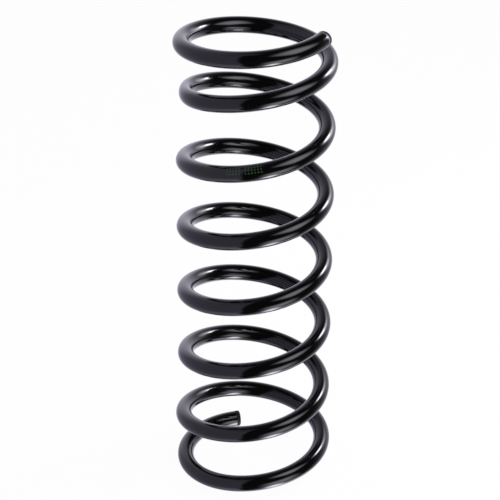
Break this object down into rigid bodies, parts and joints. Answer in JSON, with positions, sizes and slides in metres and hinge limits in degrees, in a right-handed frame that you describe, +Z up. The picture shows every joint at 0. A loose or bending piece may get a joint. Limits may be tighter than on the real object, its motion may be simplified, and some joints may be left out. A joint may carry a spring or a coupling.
{
  "type": "suspension coil spring",
  "caption": "Helical compression spring of round black-coated steel wire, wound right-handed, with widened open ends cut square, for a vehicle suspension.",
  "frame": {"origin": "on the coil's axis, level with the underside of the lowest coil", "axes": "+Z up along the coil's axis towards the top end, with the wire's top end 27 degrees from +X towards -Y. Seen along +Y, as in the picture, +X is on the right"},
  "size_m": [0.1318, 0.1321, 0.4058],
  "materials": {
    "black_coating": "gloss black coating on steel"
  },
  "bodies": {
    "root": {"coil": "black_coating"}
  },
  "joints": []
}
